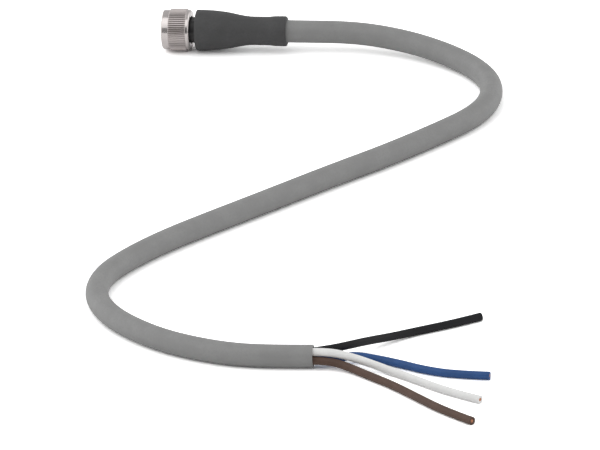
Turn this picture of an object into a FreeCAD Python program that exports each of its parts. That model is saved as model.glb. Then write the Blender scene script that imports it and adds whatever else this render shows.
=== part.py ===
"""Straight female M8 cordset: screw coupling, moulded grip and a cable with a free end.

The axis of the connector is X. The mating face is at x = 0 and the cable leaves
towards +X. Z is up. The part lies on a surface at the height of the nut's lowest
point, and the cable and its cores lie on the same surface. Millimetres.
"""
import FreeCAD, Part
import math
import os

V = FreeCAD.Vector

# Clearances between pieces
BOND_GAP = 0.02        # between a moulding and what it is moulded round
CONTACT_GAP = 0.03     # contact in its cavity, on the radius
GUIDE_GAP = 0.16       # hole in the mating face round the mating pin, on the radius
STOP_GAP = 0.099       # stop flange inside the nut's thread, on the radius
RING_GAP = 0.05        # detent ring to neck and nut, on the radius and at each side
NUT_HOLE_GAP = 0.10    # hole in the nut's web over the neck, on the radius
LIP_HOLE_GAP = 0.30    # hole in the nut's rear lip over the neck, on the radius
SEAL_SQUEEZE = 0.04    # how far the seal bites into the floor of its groove
SEAL_SIDE_GAP = 0.03   # seal to each wall of its groove

# Insert that plugs into the mating connector
INSERT_R = 2.9
INSERT_LENGTH = 3.3
INSERT_CHAMFER = 0.2
KEY_WIDTH = 0.9
KEY_DEPTH = 0.5

# Seal at the root of the insert
SEAL_SECTION_R = 0.42
SEAL_DEPTH = 0.4       # depth of its groove below the insert

# Stop flange, neck and anchor at the back of the contact carrier
STOP_LENGTH = 0.6
STOP_STEP = 0.31       # height of the stop flange above the neck
NECK_FLAT_DEPTH = 0.3
ANCHOR_DEPTH = 0.8     # how far the neck runs into the grip before its groove
ANCHOR_GROOVE = 0.8
ANCHOR_GROOVE_DEPTH = 0.14
ANCHOR_COLLAR = 0.8

# Socket contacts: two wide-set above, two close-set below
PIN_R = 0.5            # bore for the mating pin
PIN_DEPTH = 4.6
CONTACT_WALL = 0.20
CONTACT_RECESS = 0.6   # contact's mouth behind the mating face
CONTACT_COLLAR_STEP = 0.12
CONTACT_COLLAR_X = 7.0
CONTACT_COLLAR_LENGTH = 0.6
CONTACT_SLIT = 0.16
CONTACT_SLIT_LENGTH = 3.0
CRIMP_R = 0.80
CRIMP_BORE_R = 0.45
CRIMP_LENGTH = 2.5
UPPER_PAIR = (1.30, 0.95)
LOWER_PAIR = (1.00, -1.25)

# Coupling nut
THREAD_R = 4.0         # outer radius of the mate's thread, M8 x 1
THREAD_HEIGHT = 0.541
THREAD_ENTRY_DEPTH = 0.7
NUT_LIP = 0.5          # front edge of the nut ahead of the mating face
NUT_RIM = 0.7          # wall of the front ring outside the thread
NUT_FRONT_LENGTH = 1.7
NUT_FRONT_ROUND = 0.35
KNURL_RISE = 0.3       # crests of the knurl above the front ring
KNURL_LENGTH = 4.15
KNURL_DEPTH = 0.18
KNURL_CHAMFER = 0.22
KNURL_TEETH = 60
KNURL_CREST = 0.3      # crest of a tooth as a share of its pitch
NUT_REAR_RISE = 0.1    # rear ring above the front ring
NUT_REAR_LENGTH = 0.85
NUT_REAR_CHAMFER = 0.3
NUT_WEB = 0.5          # wall that pulls on the stop flange
NUT_END_PLAY = 0.05    # web to stop flange
NUT_TRAVEL = 1.0       # how far the nut slides back
NUT_STOP_GAP = 0.3     # nut to grip with the nut all the way back

# Detent ring in the back of the nut
RING_WALL = 0.6
RING_LENGTH = 0.55
RING_SLIT = 0.6

# Grip, from its front face to the cable
GRIP_FRONT_R = 4.83
GRIP_FRONT_CHAMFER = 0.25
GRIP_SHOULDER = 0.4    # where the front's round part starts to narrow
GRIP_WAIST_R = 3.40
GRIP_WAIST_START = 13.9
GRIP_WAIST_END = 16.6
TAPER_LEAD_OUT = 0.62  # how far the taper's curve holds its first direction, as a share of it
TAPER_LEAD_IN = 0.30   # and how early it takes its last
GRIP_COLLAR_R = 3.58
GRIP_COLLAR_START = 19.6
GRIP_LENGTH = 21.7
GRIP_END_ROUND = 0.5

# Inner mould round crimps and cores
MOULD_R = 2.9
MOULD_TAIL_R = 2.7
MOULD_GROOVE_R = 2.72
MOULD_GROOVE = 0.7
MOULD_LAND = 1.3
MOULD_GROOVES = 3
MOULD_TAIL = 2.4

# Cable and cores
CORE_R = 0.95
CORE_GAP = 0.02        # between neighbouring cores in the cable
SHEATH_WALL = 0.367
CORE_FAN = 0.07        # how much wider the cores lie where they leave the inner mould
CONDUCTOR_R = 0.40
STRIP_GAP = 0.1        # crimp barrel to the insulation of its core
CONDUCTOR_INSERT = 2.1
BEND_SHARE = 0.45      # how much of the shorter run beside a bend its arc takes

# How far cutting shapes stand past what they cut
CUT_OVER = 1.0
KNURL_OVER = 0.02

# Places and sizes that follow from the sizes above
SEAL_FLOOR_R = INSERT_R - SEAL_DEPTH
CONTACT_R = PIN_R + CONTACT_WALL
CONTACT_COLLAR_R = CONTACT_R + CONTACT_COLLAR_STEP
GUIDE_R = PIN_R + GUIDE_GAP
THREAD_MINOR_R = THREAD_R - THREAD_HEIGHT
STOP_R = THREAD_MINOR_R - STOP_GAP
NECK_R = STOP_R - STOP_STEP
NECK_FLAT = NECK_R - NECK_FLAT_DEPTH
ANCHOR_GROOVE_R = NECK_R - ANCHOR_GROOVE_DEPTH
RING_BORE_R = NECK_R + RING_GAP
RING_R = RING_BORE_R + RING_WALL
NUT_FRONT_R = THREAD_R + NUT_RIM
NUT_REAR_R = NUT_FRONT_R + NUT_REAR_RISE
KNURL_R = NUT_FRONT_R + KNURL_RISE
CORE_OFFSET = (CORE_R + CORE_GAP / 2) * math.sqrt(2)    # core to cable axis
CABLE_R = CORE_OFFSET + CORE_R + SHEATH_WALL
SEAL_GROOVE = 2 * (SEAL_SECTION_R + SEAL_SIDE_GAP)
STOP_X = INSERT_LENGTH + SEAL_GROOVE
NECK_X = STOP_X + STOP_LENGTH
NUT_BACK_X = NUT_FRONT_LENGTH + KNURL_LENGTH + NUT_REAR_LENGTH - NUT_LIP
GRIP_X = NUT_BACK_X + NUT_TRAVEL + NUT_STOP_GAP
GRIP_END_X = GRIP_X + GRIP_LENGTH
CARRIER_END_X = GRIP_X + ANCHOR_DEPTH + ANCHOR_GROOVE + ANCHOR_COLLAR
MOULD_X = CARRIER_END_X + BOND_GAP
CRIMP_END_X = MOULD_X + CRIMP_LENGTH
MOULD_END_X = MOULD_X + (MOULD_GROOVES + 1) * MOULD_LAND + MOULD_GROOVES * MOULD_GROOVE + MOULD_TAIL
CABLE_START_X = MOULD_END_X + BOND_GAP
SURFACE_Z = -KNURL_R
CABLE_Z = SURFACE_Z + CABLE_R
CORE_Z = SURFACE_Z + CORE_R

# Contact number, colour of its core, and place in the mating face (y, z)
CONTACTS = (
    (1, "brown", -LOWER_PAIR[0], LOWER_PAIR[1]),
    (2, "white", -UPPER_PAIR[0], UPPER_PAIR[1]),
    (3, "blue", LOWER_PAIR[0], LOWER_PAIR[1]),
    (4, "black", UPPER_PAIR[0], UPPER_PAIR[1]),
)

# Route of the cable's axis, from inside the grip to the cut end
CABLE_ROUTE = [
    (CABLE_START_X, 0.0, 0.0),
    (32.5, 0.0, 0.0),
    (46.1, 1.2, -0.5),
    (58.4, -2.0, -1.3),
    (68.5, -7.9, -1.95),
    (76.4, -15.3, CABLE_Z),
    (81.8, -24.8, CABLE_Z),
    (83.4, -35.6, CABLE_Z),
    (81.1, -46.2, CABLE_Z),
    (74.5, -56.8, CABLE_Z),
    (64.1, -71.3, CABLE_Z),
    (53.2, -84.3, CABLE_Z),
    (38.3, -103.4, CABLE_Z),
    (28.7, -115.4, CABLE_Z),
    (20.1, -126.7, CABLE_Z),
    (13.5, -137.9, CABLE_Z),
    (9.4, -148.2, CABLE_Z),
    (9.3, -159.1, CABLE_Z),
    (13.1, -169.2, CABLE_Z),
    (20.3, -178.6, CABLE_Z),
    (31.2, -187.6, CABLE_Z),
    (44.8, -193.5, CABLE_Z),
    (55.8, -194.7, CABLE_Z),
    (65.8, -194.1, CABLE_Z),
]

# Routes of the free cores beyond the cut end; each starts at its place in the cut face
CORE_ROUTES = {
    "black": [
        (69.4, -192.1, -1.35),
        (73.2, -189.2, -1.5),
        (77.0, -184.2, -2.4),
        (81.1, -178.9, -3.6),
        (85.6, -174.7, CORE_Z),
        (90.9, -171.3, CORE_Z),
        (95.8, -168.0, CORE_Z),
        (100.1, -164.6, CORE_Z),
    ],
    "blue": [
        (69.9, -193.2, -3.5),
        (74.4, -191.2, -3.1),
        (79.2, -191.1, -3.85),
        (85.2, -193.3, CORE_Z),
        (91.7, -196.9, CORE_Z),
        (99.0, -199.3, CORE_Z),
        (107.4, -199.7, CORE_Z),
    ],
    "white": [
        (69.6, -194.6, -1.0),
        (74.2, -194.7, -2.0),
        (78.8, -195.7, -3.05),
        (84.0, -197.8, CORE_Z),
        (90.7, -202.8, CORE_Z),
        (99.1, -209.5, CORE_Z),
        (107.3, -213.9, CORE_Z),
    ],
    "brown": [
        (69.7, -195.3, -2.95),
        (74.0, -196.4, -3.8),
        (79.0, -200.4, CORE_Z),
        (85.9, -206.2, CORE_Z),
        (93.1, -213.7, CORE_Z),
        (100.1, -220.9, CORE_Z),
        (107.3, -226.5, CORE_Z),
    ],
}

# Where each core lies in the cable's section, in degrees from the side away from the viewer
# towards the top, at the connector and, after the cable's lay, at the cut end
CORE_ANGLES = {"black": 45, "white": 135, "brown": 225, "blue": 315}
CUT_END_TURN = -22


class Outline:
    """A closed outline in the XY half plane, drawn edge by edge and turned about X."""

    def __init__(self, x, r):
        self.start = V(x, r, 0)
        self.here = self.start
        self.edges = []

    def line(self, x, r):
        there = V(x, r, 0)
        self.edges.append(Part.makeLine(self.here, there))
        self.here = there
        return self

    def arc(self, mid, end):
        there = V(end[0], end[1], 0)
        curve = Part.Arc(self.here, V(mid[0], mid[1], 0), there)
        self.edges.append(curve.toShape())
        self.here = there
        return self

    def round_corner(self, centre, radius, from_deg, to_deg):
        """Quarter arc about a centre, given by its two angles."""
        points = []
        for angle in ((from_deg + to_deg) / 2, to_deg):
            a = math.radians(angle)
            points.append((centre[0] + radius * math.cos(a), centre[1] + radius * math.sin(a)))
        return self.arc(points[0], points[1])

    def bend(self, x, r, lead_out, lead_in):
        """S-shaped stretch that starts and ends parallel to the axis."""
        curve = Part.BezierCurve()
        there = V(x, r, 0)
        curve.setPoles([
            self.here,
            V(self.here.x + lead_out, self.here.y, 0),
            V(x - lead_in, r, 0),
            there,
        ])
        self.edges.append(curve.toShape())
        self.here = there
        return self

    def turned(self):
        """Solid of revolution about the X axis."""
        if (self.here - self.start).Length > 1e-9:
            self.line(self.start.x, self.start.y)
        face = Part.Face(Part.Wire(self.edges))
        return face.revolve(V(0, 0, 0), V(1, 0, 0), 360)


def rod(x0, x1, radius, y=0.0, z=0.0):
    """Round rod along X."""
    return Part.makeCylinder(radius, x1 - x0, V(x0, y, z), V(1, 0, 0))


def slanted_rod(x0, place0, x1, place1, radius):
    """Rod between two places, with both end faces square to X."""
    rings = []
    for x, place in ((x0, place0), (x1, place1)):
        circle = Part.Circle(V(x, place[0], place[1]), V(1, 0, 0), radius)
        rings.append(Part.Wire([circle.toShape()]))
    return Part.makeLoft(rings, True, True)


def block(x0, x1, y0, y1, z0, z1):
    return Part.makeBox(x1 - x0, y1 - y0, z1 - z0, V(x0, y0, z0))


def core_place(colour, offset=CORE_OFFSET + CORE_FAN, turn=0):
    """Place of a core in the cable's section, as (away, up); by default at the inner mould."""
    angle = math.radians(CORE_ANGLES[colour] + turn)
    return (offset * math.cos(angle), offset * math.sin(angle))


def knurl_prism(x0, x1):
    """Straight knurl: a star-shaped prism of V grooves between flat crests."""
    pitch = 2 * math.pi / KNURL_TEETH
    root_r = KNURL_R - KNURL_DEPTH
    crest_r = KNURL_R + KNURL_OVER
    points = []
    for tooth in range(KNURL_TEETH):
        middle = tooth * pitch
        for angle, radius in (
            (middle - pitch * KNURL_CREST / 2, crest_r),
            (middle + pitch * KNURL_CREST / 2, crest_r),
            (middle + pitch / 2, root_r),
        ):
            points.append(V(x0, radius * math.cos(angle), radius * math.sin(angle)))
    face = Part.Face(Part.makePolygon(points + points[:1]))
    return face.extrude(V(x1 - x0, 0, 0))


def coupling_nut():
    """Knurled nut with a smooth ring each side, a thread bore and a web behind it."""
    front = -NUT_LIP
    knurl_x = front + NUT_FRONT_LENGTH
    rear_x = knurl_x + KNURL_LENGTH
    web_x = NECK_X + NUT_END_PLAY
    pocket_x = web_x + NUT_WEB
    pocket_end = pocket_x + RING_LENGTH + 2 * RING_GAP
    hole_r = NECK_R + NUT_HOLE_GAP
    pocket_r = RING_R + RING_GAP
    lip_hole_r = NECK_R + LIP_HOLE_GAP
    outline = Outline(front, THREAD_R)
    outline.line(front, NUT_FRONT_R - NUT_FRONT_ROUND)
    outline.round_corner(
        (front + NUT_FRONT_ROUND, NUT_FRONT_R - NUT_FRONT_ROUND), NUT_FRONT_ROUND, 180, 90
    )
    outline.line(knurl_x, NUT_FRONT_R)
    outline.line(knurl_x, KNURL_R - KNURL_CHAMFER)
    outline.line(knurl_x + KNURL_CHAMFER, KNURL_R)
    outline.line(rear_x - KNURL_CHAMFER, KNURL_R)
    outline.line(rear_x, KNURL_R - KNURL_CHAMFER)
    outline.line(rear_x, NUT_REAR_R)
    outline.line(NUT_BACK_X - NUT_REAR_CHAMFER, NUT_REAR_R)
    outline.line(NUT_BACK_X, NUT_REAR_R - NUT_REAR_CHAMFER)
    outline.line(NUT_BACK_X, lip_hole_r)
    outline.line(pocket_end, lip_hole_r)
    outline.line(pocket_end, pocket_r)
    outline.line(pocket_x, pocket_r)
    outline.line(pocket_x, hole_r)
    outline.line(web_x, hole_r)
    outline.line(web_x, THREAD_MINOR_R)
    outline.line(front + THREAD_ENTRY_DEPTH, THREAD_MINOR_R)
    blank = outline.turned()
    around = rod(knurl_x, rear_x, KNURL_R + CUT_OVER).cut(knurl_prism(knurl_x, rear_x))
    return blank.cut(around)


def detent_ring():
    """Split ring that is keyed to the neck's flats and turns in the nut's pocket."""
    x0 = NECK_X + NUT_END_PLAY + NUT_WEB + RING_GAP
    x1 = x0 + RING_LENGTH
    flat = NECK_FLAT + RING_GAP
    bore = rod(x0, x1, RING_BORE_R).common(block(x0, x1, -RING_BORE_R, RING_BORE_R, -flat, flat))
    ring = rod(x0, x1, RING_R).cut(bore)
    return ring.cut(block(x0, x1, -RING_SLIT / 2, RING_SLIT / 2, -RING_R, 0))


def contact_carrier():
    """Insert, seal groove, stop flange, flatted neck and the anchor inside the grip."""
    groove_x = GRIP_X + ANCHOR_DEPTH
    outline = Outline(0, 0)
    outline.line(0, INSERT_R - INSERT_CHAMFER)
    outline.line(INSERT_CHAMFER, INSERT_R)
    outline.line(INSERT_LENGTH, INSERT_R)
    outline.line(INSERT_LENGTH, SEAL_FLOOR_R)
    outline.line(STOP_X, SEAL_FLOOR_R)
    outline.line(STOP_X, STOP_R)
    outline.line(NECK_X, STOP_R)
    outline.line(NECK_X, NECK_R)
    outline.line(groove_x, NECK_R)
    outline.line(groove_x, ANCHOR_GROOVE_R)
    outline.line(groove_x + ANCHOR_GROOVE, ANCHOR_GROOVE_R)
    outline.line(groove_x + ANCHOR_GROOVE, NECK_R)
    outline.line(CARRIER_END_X, NECK_R)
    outline.line(CARRIER_END_X, 0)
    carrier = outline.turned()
    cuts = [
        block(
            0, INSERT_LENGTH, -KEY_WIDTH / 2, KEY_WIDTH / 2,
            INSERT_R - KEY_DEPTH, INSERT_R + CUT_OVER,
        ),
        block(NECK_X, GRIP_X, -NECK_R, NECK_R, NECK_FLAT, NECK_R + CUT_OVER),
        block(NECK_X, GRIP_X, -NECK_R, NECK_R, -NECK_R - CUT_OVER, -NECK_FLAT),
    ]
    for _, _, y, z in CONTACTS:
        cuts.append(rod(0, CONTACT_RECESS, GUIDE_R, y, z))
        cuts.append(rod(CONTACT_RECESS - CONTACT_GAP, CONTACT_COLLAR_X, CONTACT_R + CONTACT_GAP, y, z))
        cuts.append(
            rod(CONTACT_COLLAR_X - CONTACT_GAP, CARRIER_END_X, CONTACT_COLLAR_R + CONTACT_GAP, y, z)
        )
    for cut in cuts:
        carrier = carrier.cut(cut)
    return carrier


def seal_ring():
    """Round-section seal seated in its groove."""
    middle_r = SEAL_FLOOR_R + SEAL_SECTION_R - SEAL_SQUEEZE
    middle_x = INSERT_LENGTH + SEAL_GROOVE / 2
    return Part.makeTorus(middle_r, SEAL_SECTION_R, V(middle_x, 0, 0), V(1, 0, 0))


def socket_contact(y, z):
    """Turned contact: slit spring socket, locating collar, shank and crimp barrel."""
    collar_end = CONTACT_COLLAR_X + CONTACT_COLLAR_LENGTH
    contact = rod(CONTACT_RECESS, MOULD_X, CONTACT_R, y, z)
    contact = contact.fuse(rod(CONTACT_COLLAR_X, collar_end, CONTACT_COLLAR_R, y, z))
    contact = contact.fuse(rod(MOULD_X, CRIMP_END_X, CRIMP_R, y, z))
    contact = contact.cut(rod(CONTACT_RECESS, CONTACT_RECESS + PIN_DEPTH, PIN_R, y, z))
    contact = contact.cut(
        rod(CRIMP_END_X - CONDUCTOR_INSERT - 2 * BOND_GAP, CRIMP_END_X, CRIMP_BORE_R, y, z)
    )
    slit = block(
        CONTACT_RECESS, CONTACT_RECESS + CONTACT_SLIT_LENGTH,
        y - CONTACT_SLIT / 2, y + CONTACT_SLIT / 2, z - CRIMP_R, z + CRIMP_R,
    )
    return contact.cut(slit).removeSplitter()


def conductor(colour, y, z):
    """Bare end in the crimp barrel, then the copper inside the core's insulation."""
    bare_start = CRIMP_END_X - CONDUCTOR_INSERT
    bare_end = CRIMP_END_X + STRIP_GAP
    inside = slanted_rod(bare_end, (y, z), MOULD_END_X, core_place(colour), CONDUCTOR_R)
    return rod(bare_start, bare_end, CONDUCTOR_R, y, z).fuse(inside)


def core_tail(colour, y, z):
    """Insulation of one core between its crimp and the stripped end of the cable."""
    x0 = CRIMP_END_X + STRIP_GAP
    tail = slanted_rod(x0, (y, z), MOULD_END_X, core_place(colour), CORE_R)
    hole_r = CONDUCTOR_R + BOND_GAP
    return tail.cut(slanted_rod(x0, (y, z), MOULD_END_X, core_place(colour), hole_r))


def mould_steps():
    """Lands and grooves of the inner mould as (start, end, radius)."""
    steps = []
    x = MOULD_X
    for _ in range(MOULD_GROOVES):
        steps.append((x, x + MOULD_LAND, MOULD_R))
        steps.append((x + MOULD_LAND, x + MOULD_LAND + MOULD_GROOVE, MOULD_GROOVE_R))
        x += MOULD_LAND + MOULD_GROOVE
    steps.append((x, x + MOULD_LAND, MOULD_R))
    steps.append((x + MOULD_LAND, MOULD_END_X, MOULD_TAIL_R))
    return steps


def inner_mould():
    """First shot of plastic round the crimps and cores, grooved to hold the grip."""
    x_first, x_next, radius = mould_steps()[0]
    mould = rod(x_first, x_next, radius)
    for x0, x1, radius in mould_steps()[1:]:
        mould = mould.fuse(rod(x0, x1, radius))
    mould = mould.removeSplitter()
    for _, colour, y, z in CONTACTS:
        mould = mould.cut(rod(MOULD_X, CRIMP_END_X + STRIP_GAP, CRIMP_R + BOND_GAP, y, z))
        mould = mould.cut(
            slanted_rod(CRIMP_END_X + STRIP_GAP, (y, z), MOULD_END_X, core_place(colour), CORE_R + BOND_GAP)
        )
    return mould


def overmould():
    """Soft grip: a wide front, an S-shaped taper to the waist and a collar at the cable."""
    outline = Outline(GRIP_X, 0)
    outline.line(GRIP_X, GRIP_FRONT_R - GRIP_FRONT_CHAMFER)
    outline.line(GRIP_X + GRIP_FRONT_CHAMFER, GRIP_FRONT_R)
    outline.line(GRIP_X + GRIP_SHOULDER, GRIP_FRONT_R)
    taper = GRIP_WAIST_START - GRIP_SHOULDER
    outline.bend(
        GRIP_X + GRIP_WAIST_START, GRIP_WAIST_R, TAPER_LEAD_OUT * taper, TAPER_LEAD_IN * taper
    )
    outline.line(GRIP_X + GRIP_WAIST_END, GRIP_WAIST_R)
    flare = GRIP_COLLAR_START - GRIP_WAIST_END
    outline.bend(GRIP_X + GRIP_COLLAR_START, GRIP_COLLAR_R, flare / 2, flare / 2)
    outline.line(GRIP_END_X - GRIP_END_ROUND, GRIP_COLLAR_R)
    outline.round_corner(
        (GRIP_END_X - GRIP_END_ROUND, GRIP_COLLAR_R - GRIP_END_ROUND), GRIP_END_ROUND, 90, 0
    )
    outline.line(GRIP_END_X, 0)
    grip = outline.turned()
    groove_x = GRIP_X + ANCHOR_DEPTH
    steps = [
        (GRIP_X, groove_x, NECK_R),
        (groove_x, groove_x + ANCHOR_GROOVE, ANCHOR_GROOVE_R),
        (groove_x + ANCHOR_GROOVE, CARRIER_END_X, NECK_R),
    ]
    steps += mould_steps()
    steps.append((CABLE_START_X, GRIP_END_X, CABLE_R))
    for x0, x1, radius in steps:
        grip = grip.cut(rod(x0 - BOND_GAP, x1 + BOND_GAP, radius + BOND_GAP))
    return grip


def rounded_path(route):
    """Straight runs joined by tangent arcs. Returns the wire, its length and the radii."""
    points = [V(*p) for p in route]
    edges = []
    radii = []
    here = points[0]
    for before, corner, after in zip(points, points[1:], points[2:]):
        into = corner - before
        out = after - corner
        shorter = min(into.Length, out.Length)
        into.normalize()
        out.normalize()
        half_turn = into.getAngle(out) / 2
        setback = BEND_SHARE * shorter
        radii.append(setback / math.tan(half_turn))
        arc_start = corner - into * setback
        arc_end = corner + out * setback
        inward = out - into
        inward.normalize()
        centre = corner + inward * (setback / math.sin(half_turn))
        arc_middle = centre - inward * radii[-1]
        edges.append(Part.LineSegment(here, arc_start).toShape())
        edges.append(Part.Arc(arc_start, arc_middle, arc_end).toShape())
        here = arc_end
    edges.append(Part.LineSegment(here, points[-1]).toShape())
    return Part.Wire(edges), sum(e.Length for e in edges), radii


def tube(name, route, radius):
    """Solid tube along a route, reported with its radii and its volume against its length."""
    path, length, radii = rounded_path(route)
    heading = V(*route[1]) - V(*route[0])
    circle = Part.Circle(V(*route[0]), heading, radius)
    solid = path.makePipeShell([Part.Wire([circle.toShape()])], True, True)
    expected = math.pi * radius ** 2 * length
    print(name, "length", round(length, 1), "least radius", round(min(radii), 1),
          "volume over section times length", round(solid.Volume / expected, 4))
    print("   radii", [round(r, 1) for r in radii])
    return solid


def core_start(colour):
    """Place of a core in the cable's cut end face."""
    end = V(*CABLE_ROUTE[-1])
    heading = end - V(*CABLE_ROUTE[-2])
    heading.normalize()
    sideways = V(-heading.y, heading.x, 0)
    away, up = core_place(colour, CORE_OFFSET, CUT_END_TURN)
    place = end + sideways * away + V(0, 0, up)
    return (place.x, place.y, place.z)


def build():
    """All pieces by node name."""
    pieces = {
        "coupling_nut": coupling_nut(),
        "detent_ring": detent_ring(),
        "contact_carrier": contact_carrier(),
        "seal_ring": seal_ring(),
        "inner_mould": inner_mould(),
        "overmould": overmould(),
        "cable_sheath": tube("cable_sheath", CABLE_ROUTE, CABLE_R),
    }
    for number, colour, y, z in CONTACTS:
        pieces[f"socket_contact_{number}"] = socket_contact(y, z)
        pieces[f"conductor_{colour}"] = conductor(colour, y, z)
        pieces[f"core_tail_{colour}"] = core_tail(colour, y, z)
    for colour, route in CORE_ROUTES.items():
        pieces[f"core_{colour}"] = tube(f"core_{colour}", [core_start(colour)] + route, CORE_R)
    return pieces


def export(pieces):
    os.makedirs("parts", exist_ok=True)
    for node, shape in pieces.items():
        solids = shape.Solids
        if len(solids) != 1 or not shape.isValid():
            print("CHECK", node, "solids", len(solids), "valid", shape.isValid())
        solids[0].exportStep(f"parts/{node}.step")


export(build())
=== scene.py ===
"""Dressed model of a straight female M8 cordset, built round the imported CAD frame.

Sizes are written in millimetres and turned into metres where a mesh is made. The
connector's axis is X, with the mating face at x = 0 and the cable leaving towards +X.
Z is up. The part lies on a surface 5 mm below the connector's axis.
"""
import logging
import math
from dataclasses import dataclass, field
from enum import Enum
from typing import Optional, Sequence, Union

import bpy
import numpy as np
from mathutils import Matrix, Vector


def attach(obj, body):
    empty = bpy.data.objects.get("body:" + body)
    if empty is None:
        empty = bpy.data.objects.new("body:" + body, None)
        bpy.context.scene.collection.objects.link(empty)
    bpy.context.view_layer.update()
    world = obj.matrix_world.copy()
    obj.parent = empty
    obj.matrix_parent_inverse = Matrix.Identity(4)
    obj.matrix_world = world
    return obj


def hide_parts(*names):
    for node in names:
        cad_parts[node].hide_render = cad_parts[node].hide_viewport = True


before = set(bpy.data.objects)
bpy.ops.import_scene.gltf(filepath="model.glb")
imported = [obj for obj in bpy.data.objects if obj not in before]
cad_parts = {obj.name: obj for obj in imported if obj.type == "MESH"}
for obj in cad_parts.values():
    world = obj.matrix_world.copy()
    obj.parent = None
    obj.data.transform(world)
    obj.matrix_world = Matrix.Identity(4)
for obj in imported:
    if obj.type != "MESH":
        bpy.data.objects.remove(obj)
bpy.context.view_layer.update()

Array = np.ndarray
Colour = tuple[float, float, float]
Value = Union[float, bpy.types.NodeSocket]
MM = 0.001
WELD = 1e-8  # points that round to the same step become one, in metres
PICTURE = (600, 450)
FLOOR_Z = -5.0
BODY = "connector_body"
NUT_BODY = "coupling_nut"

log = logging.getLogger("cordset")


# Surfaces on grids


def arc_corner(before: Array, corner: Array, after: Array, radius: float, steps: int) -> Array:
    """Rounds one corner of an outline with a true arc.

    The arc is the rational curve ((1-s)^2 A + 2 w s (1-s) P + s^2 B) / ((1-s)^2 + 2 w s (1-s)
    + s^2), where P is the corner, A and B lie radius / tan(half angle) away from it on its two
    runs, and w is the sine of half the angle between the runs.

    Args:
        before: Point before the corner.
        corner: The corner itself.
        after: Point after the corner.
        radius: Radius of the arc, cut down where a run is too short for it.
        steps: Number of pieces in the arc.

    Returns:
        The arc's points, steps + 1 rows.
    """
    a, b = before - corner, after - corner
    long_a, long_b = np.linalg.norm(a), np.linalg.norm(b)
    a, b = a / long_a, b / long_b
    half = math.acos(float(np.clip(a @ b, -1, 1))) / 2
    if radius <= 0 or half > math.pi / 2 - 1e-4:
        return corner[None]
    reach = min(radius / math.tan(half), 0.48 * min(long_a, long_b))
    s = np.linspace(0, 1, steps + 1)[:, None]
    weight = 2 * math.sin(half) * s * (1 - s)
    ends = (1 - s) ** 2 * (corner + a * reach) + s ** 2 * (corner + b * reach)
    return (ends + weight * corner) / ((1 - s) ** 2 + weight + s ** 2)


def outline(corners: Sequence[tuple[float, ...]], steps: int = 3) -> Array:
    """Closed outline from corners of (x, r, rounding, pieces of the run that follows).

    Args:
        corners: The corners in order.
        steps: Pieces in each rounding.

    Returns:
        Points (x, r), one row each.
    """
    places = np.array([c[:2] for c in corners], float)
    arcs = [
        arc_corner(places[i - 1], places[i], places[(i + 1) % len(places)], c[2], steps)
        for i, c in enumerate(corners)
    ]
    points = []
    for i, c in enumerate(corners):
        points.append(arcs[i])
        there = arcs[(i + 1) % len(arcs)][0]
        share = np.arange(1, c[3])[:, None] / c[3]
        points.append(arcs[i][-1] * (1 - share) + there * share)
    return np.concatenate(points)


def s_bend(
    start: tuple[float, float], end: tuple[float, float], lead_out: float, lead_in: float,
    pieces: int,
) -> Array:
    """S-shaped stretch of an outline that starts and ends parallel to the axis.

    It is the cubic sum of its four poles: start, start moved forward by lead_out, end moved
    back by lead_in, and end.

    Args:
        start: First point (x, r).
        end: Last point (x, r).
        lead_out: How far the start's pole reaches.
        lead_in: How far the end's pole reaches.
        pieces: Number of pieces.

    Returns:
        The points between start and end, both left out.
    """
    poles = np.array([start, (start[0] + lead_out, start[1]), (end[0] - lead_in, end[1]), end])
    t = np.linspace(0, 1, pieces + 1)[1:-1, None]
    shares = np.concatenate([(1 - t) ** 3, 3 * t * (1 - t) ** 2, 3 * t ** 2 * (1 - t), t ** 3], 1)
    return shares @ poles


def turned(x: Array, r: Array, angles: Array) -> Array:
    """Surface turned about X: (x, r cos a, r sin a).

    Args:
        x: Places along the axis in mm, per row or per point.
        r: Radii in mm, per row or per point.
        angles: Angles of the columns.

    Returns:
        Grid of points in metres.
    """
    x, r, a = np.broadcast_arrays(x, r, angles[None])
    return np.stack([x, r * np.cos(a), r * np.sin(a)], -1) * MM


def linked(name: str, data: bpy.types.ID) -> bpy.types.Object:
    """Makes an object.

    Args:
        name: Its name.
        data: Its mesh, curve, camera or light.

    Returns:
        The object, linked to the scene.
    """
    piece = bpy.data.objects.new(name, data)
    bpy.context.scene.collection.objects.link(piece)
    return piece


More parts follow.
